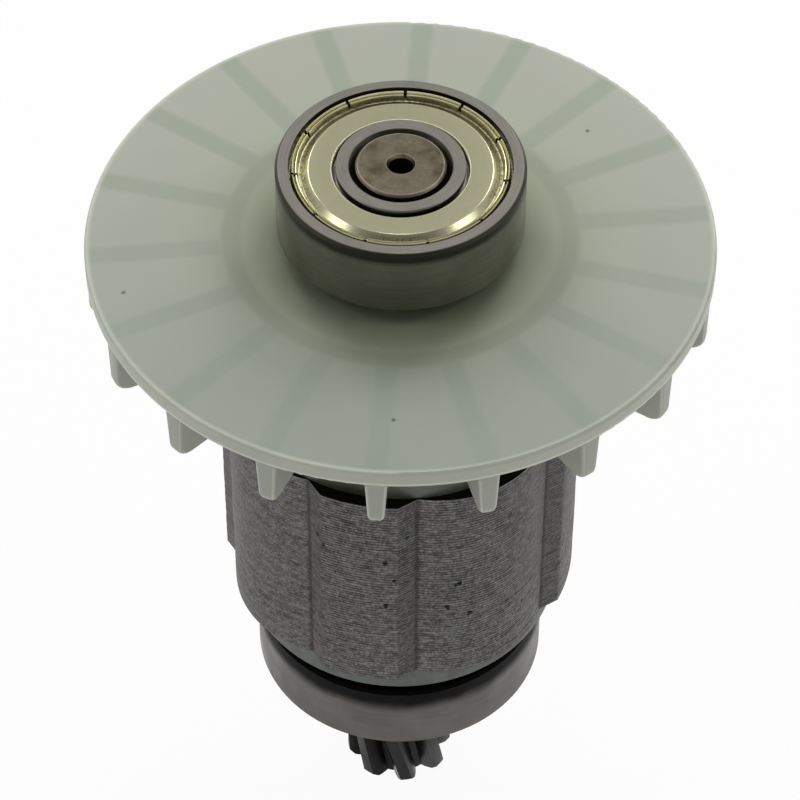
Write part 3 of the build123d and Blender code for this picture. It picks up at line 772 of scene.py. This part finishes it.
def stackSheets(s):
    low, high = (corner.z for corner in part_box("rotor_core"))
    pitch = (high - low) / s["sheets"]
    wall = s["wallRadius"] / 1000
    stack = bpy.data.objects.new("sheetStack", nodes["rotor_core"].data.copy())
    bpy.context.collection.objects.link(stack)
    bpy.context.view_layer.objects.active = stack
    stack.select_set(True)
    stack.data.materials.clear()
    bpy.ops.object.mode_set(mode='EDIT')
    bpy.ops.mesh.select_mode(type='FACE')
    bpy.ops.mesh.select_all(action='SELECT')
    bpy.ops.mesh.remove_doubles(threshold=0.000001)
    bpy.ops.mesh.select_all(action='DESELECT')
    bpy.ops.object.mode_set(mode='OBJECT')
    for face in stack.data.polygons:
        upright = abs(face.normal.z) < 0.5
        face.select = upright and math.hypot(face.center.x, face.center.y) > wall
    bpy.ops.object.mode_set(mode='EDIT')
    bpy.ops.mesh.delete(type='ONLY_FACE')
    bpy.ops.mesh.select_mode(type='EDGE')
    bpy.ops.mesh.select_all(action='DESELECT')
    bpy.ops.object.mode_set(mode='OBJECT')
    # loose upright edges that the wall leaves behind go, the two outlines stay
    for edge in stack.data.edges:
        a, b = (stack.data.vertices[i].co for i in edge.vertices)
        far = math.hypot(a.x, a.y) > wall and math.hypot(b.x, b.y) > wall
        edge.select = far and abs(a.z - b.z) > 0.001
    bpy.ops.object.mode_set(mode='EDIT')
    bpy.ops.mesh.delete(type='EDGE')
    bpy.ops.mesh.select_all(action='SELECT')
    bpy.ops.mesh.region_to_loop()
    bpy.ops.object.mode_set(mode='OBJECT')
    for edge in stack.data.edges:
        if edge.select:
            a, b = (stack.data.vertices[i].co for i in edge.vertices)
            edge.select = min(a.z, b.z) > high - 1e-6
    bpy.ops.object.mode_set(mode='EDIT')
    bpy.ops.mesh.duplicate()
    bpy.ops.mesh.separate(type='SELECTED')
    bpy.ops.object.mode_set(mode='OBJECT')
    edgeStrip = next(o for o in bpy.context.selected_objects if o != stack)
    edgeStrip.name = "sheetEdge"
    stack.select_set(False)
    bpy.context.view_layer.objects.active = edgeStrip

    # one sheet's edge: a flat land and a shallow groove against the next sheet
    land = pitch * s["flatShare"]
    lip = (pitch - land) / 2
    inward = 1 - s["grooveMm"] / s["radius"]
    bpy.ops.object.mode_set(mode='EDIT')
    bpy.ops.mesh.select_all(action='SELECT')
    bpy.ops.mesh.extrude_region_move(TRANSFORM_OT_translate={"value": (0, 0, -land)})
    bpy.ops.mesh.extrude_region_move(TRANSFORM_OT_translate={"value": (0, 0, -lip)})
    bpy.ops.transform.resize(value=(inward, inward, 1), center_override=(0, 0, 0))
    bpy.ops.mesh.extrude_region_move(TRANSFORM_OT_translate={"value": (0, 0, -lip)})
    bpy.ops.transform.resize(value=(1 / inward, 1 / inward, 1), center_override=(0, 0, 0))
    bpy.ops.object.mode_set(mode='OBJECT')
    rows = edgeStrip.modifiers.new("sheets", 'ARRAY')
    rows.count = s["sheets"]
    rows.use_relative_offset = False
    rows.use_constant_offset = True
    rows.constant_offset_displace = (0, 0, -pitch)
    rows.use_merge_vertices = True
    rows.merge_threshold = 0.000002
    bpy.ops.object.modifier_apply(modifier=rows.name)

    # each sheet slips a hair's breadth in the press
    chance = random.Random(s["seed"])
    slips = [(chance.uniform(-1, 1), chance.uniform(-1, 1)) for sheet in range(s["sheets"])]
    for vertex in edgeStrip.data.vertices:
        depth = high - vertex.co.z
        if pitch * 0.2 < depth < (high - low) - pitch * 0.2:
            slip = slips[min(int(depth / pitch), s["sheets"] - 1)]
            vertex.co.x += slip[0] * s["slipMm"] / 1000
            vertex.co.y += slip[1] * s["slipMm"] / 1000

    stack.select_set(True)
    bpy.context.view_layer.objects.active = stack
    bpy.ops.object.join()
    bpy.ops.object.mode_set(mode='EDIT')
    bpy.ops.mesh.select_all(action='SELECT')
    bpy.ops.mesh.remove_doubles(threshold=0.000002)
    bpy.ops.mesh.normals_make_consistent(inside=False)
    bpy.ops.object.mode_set(mode='OBJECT')
    bpy.ops.object.shade_smooth_by_angle(angle=math.radians(s["smoothAngle"]))
    stack.select_set(False)
    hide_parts("rotor_core")
    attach(stack, "rotor")
    return stack


def stampedSheets(s, sheets):
    # dull grey sheared edges, each sheet a little lighter or darker, with pits and rubbed spots;
    # painted shade in the notches and on the top end
    material, tree = startMaterial("stampedElectricalSteel")
    lathe = latheCoordinates(tree)
    low, high = (corner.z * 1000 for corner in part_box("rotor_core"))
    level = addNode(tree, "Math", {0: lathe["height"], 1: low}, operation='SUBTRACT')
    level = addNode(tree, "Math", {0: level, 1: (high - low) / sheets}, operation='DIVIDE')
    sheet = addNode(tree, "Math", {0: level}, operation='FLOOR')
    within = addNode(tree, "Math", {0: level}, operation='FRACT')
    # streaks of 1 to 2 mm along a sheet, different from one sheet to the next
    along = addNode(tree, "VectorMath", {0: lathe["outward"], "Scale": 14.0}, operation='SCALE')
    apart = addNode(tree, "Math", {0: sheet, 1: 7.31}, operation='MULTIPLY')
    streakPlace = addNode(tree, "CombineXYZ", {2: apart})
    streakPlace = addNode(tree, "VectorMath", {0: along, 1: streakPlace}, operation='ADD')
    streak = addNode(tree, "TexNoise", {
        "Vector": streakPlace, "Scale": 1.0, "Detail": 3.0, "Roughness": 0.6,
    })
    streak = addNode(tree, "MapRange", {0: streak, 1: 0.3, 2: 0.7})
    colour = addNode(tree, "Mix", {0: streak, 6: s["dark"], 7: s["edge"]}, data_type='RGBA')
    grain = addNode(tree, "TexNoise", {
        "Vector": lathe["place"], "Scale": 1 / s["grainMm"], "Detail": 3.0, "Roughness": 0.65,
    })
    sparkle = addNode(tree, "MapRange", {0: grain, 1: 0.5, 2: 0.66, 3: 0.0, 4: 0.62})
    colour = addNode(tree, "Mix", {0: sparkle, 6: colour, 7: s["light"]}, data_type='RGBA')
    shadow = addNode(tree, "MapRange", {0: grain, 1: 0.34, 2: 0.48, 3: 0.75, 4: 0.0})
    colour = addNode(tree, "Mix", {0: shadow, 6: colour, 7: s["dark"]}, data_type='RGBA')
    # seam between two sheets, broken where the burr closes it
    seam = addNode(tree, "MapRange", {0: within, 1: 0.05, 2: 0.40, 3: 1.0, 4: 0.0})
    broken = addNode(tree, "MapRange", {0: streak, 1: 0.25, 2: 0.75, 3: 0.95, 4: 0.45})
    seam = addNode(tree, "Math", {0: seam, 1: broken}, operation='MULTIPLY')
    # the seams are open at the front near the fan and closed by varnish elsewhere
    openSide = addNode(tree, "MapRange", {
        0: gapFrom(tree, lathe["angle"], s["openAngle"]), 1: 30.0, 2: 42.0, 3: 1.0, 4: 0.25,
    }, interpolation_type='SMOOTHSTEP')
    openTop = addNode(tree, "MapRange", {
        0: lathe["height"], 1: low + 3, 2: high - 9, 3: 0.45, 4: 1.0,
    })
    openShare = addNode(tree, "Math", {0: openSide, 1: openTop}, operation='MULTIPLY')
    seam = addNode(tree, "Math", {0: seam, 1: openShare}, operation='MULTIPLY')
    colour = addNode(tree, "Mix", {0: seam, 6: colour, 7: s["seam"]}, data_type='RGBA')
    # painted shade in the notches beside the narrow poles, darkest along their foot
    fromPole = addNode(tree, "Math", {0: lathe["angle"], 1: s["poleAngle"]}, operation='SUBTRACT')
    fromPole = addNode(tree, "Math", {0: fromPole, 1: 45.0}, operation='PINGPONG')
    foot = addNode(tree, "MapRange", {
        0: gapFrom(tree, fromPole, s["footAngle"]), 1: 0.2, 2: 1.5, 3: 0.75, 4: 0.0,
    })
    wall = addNode(tree, "MapRange", {
        0: gapFrom(tree, fromPole, s["wallAngle"]), 1: 2.8, 2: 3.4, 3: 0.3, 4: 0.0,
    })
    notch = addNode(tree, "Math", {0: foot, 1: wall}, operation='MAXIMUM')
    colour = addNode(tree, "Mix", {0: notch, 6: colour, 7: s["paintedNotchShade"]}, data_type='RGBA')
    # faint brown and blue tints of the varnish
    tint = addNode(tree, "TexNoise", {"Vector": lathe["place"], "Scale": 0.6, "Detail": 4.0})
    warm = addNode(tree, "MapRange", {0: tint, 1: 0.55, 2: 0.7, 3: 0.0, 4: 0.22})
    cool = addNode(tree, "MapRange", {0: tint, 1: 0.45, 2: 0.3, 3: 0.0, 4: 0.18})
    colour = addNode(tree, "Mix", {0: warm, 6: colour, 7: s["warm"]}, data_type='RGBA')
    colour = addNode(tree, "Mix", {0: cool, 6: colour, 7: s["cool"]}, data_type='RGBA')
    for angle, height, size in s["pits"]:
        turn = math.radians(angle - 90)
        radius = s["pitRadius"]
        spot = (radius * math.cos(turn), radius * math.sin(turn), low + height)
        away = addNode(tree, "VectorMath", {0: lathe["place"], 1: spot}, operation='SUBTRACT')
        away = addNode(tree, "VectorMath", {0: away, 1: (1.0, 0.4, 0.75)}, operation='MULTIPLY')
        away = addNode(tree, "VectorMath", {0: away}, operation='LENGTH')
        away = addNode(tree, "Math", {0: grain, 1: 0.35, 2: away}, operation='MULTIPLY_ADD')
        pit = addNode(tree, "MapRange", {
            0: away, 1: size * 0.75 + 0.17, 2: size + 0.2, 3: 1.0, 4: 0.0,
        })
        colour = addNode(tree, "Mix", {0: pit, 6: colour, 7: s["pitBlack"]}, data_type='RGBA')
    # painted shade: the top end face darkened, as it lies under the fan's hub
    onEnd = addNode(tree, "MapRange", {0: lathe["height"], 1: high - 0.02, 2: high - 0.005})
    colour = addNode(tree, "Mix", {0: onEnd, 6: colour, 7: s["topFacePaintedShade"]}, data_type='RGBA')
    rough = addNode(tree, "MapRange", {
        0: grain, 1: 0.3, 2: 0.7, 3: s["roughness"] - 0.08, 4: s["roughness"] + 0.1,
    })
    relief = addNode(tree, "Math", {0: grain, 1: streak}, operation='ADD')
    bump = addNode(tree, "Bump", {"Height": relief, "Strength": 0.45, "Distance": 0.00004})
    shader = addNode(tree, "BsdfPrincipled", {
        "Base Color": colour, "Metallic": 0.9, "Roughness": rough, "Normal": bump,
    })
    addNode(tree, "OutputMaterial", {"Surface": shader})
    return material


sheetStack = stackSheets(coreStack)
stampedSteel = stampedSheets(coreFinish, coreStack["sheets"])
sheetStack.data.materials.append(stampedSteel)
paint("rotor_core", stampedSteel)
print("core done,", len(sheetStack.data.polygons), "faces")

# Magnets: sintered blocks in slots inside the core, nickel plated
magnetFinish = {"bright": "#A9A7A0", "hazy": "#8F8D87", "roughness": 0.25}


def nickelPlate(s):
    # bright and slightly hazy, as plated magnets are
    material, tree = startMaterial("nickelPlatedMagnet")
    lathe = latheCoordinates(tree)
    haze = addNode(tree, "TexNoise", {"Vector": lathe["place"], "Scale": 0.6, "Detail": 3.0})
    haze = addNode(tree, "MapRange", {0: haze, 1: 0.3, 2: 0.7})
    colour = addNode(tree, "Mix", {0: haze, 6: s["bright"], 7: s["hazy"]}, data_type='RGBA')
    rough = addNode(tree, "MapRange", {
        0: haze, 1: 0.0, 2: 1.0, 3: s["roughness"], 4: s["roughness"] + 0.10,
    })
    shader = addNode(tree, "BsdfPrincipled", {
        "Base Color": colour, "Metallic": 1.0, "Roughness": rough,
    })
    addNode(tree, "OutputMaterial", {"Surface": shader})
    return material


magnetNickel = nickelPlate(magnetFinish)
for number in (1, 2, 3, 4):
    paint(f"magnet_{number}", magnetNickel)
print("magnets done")
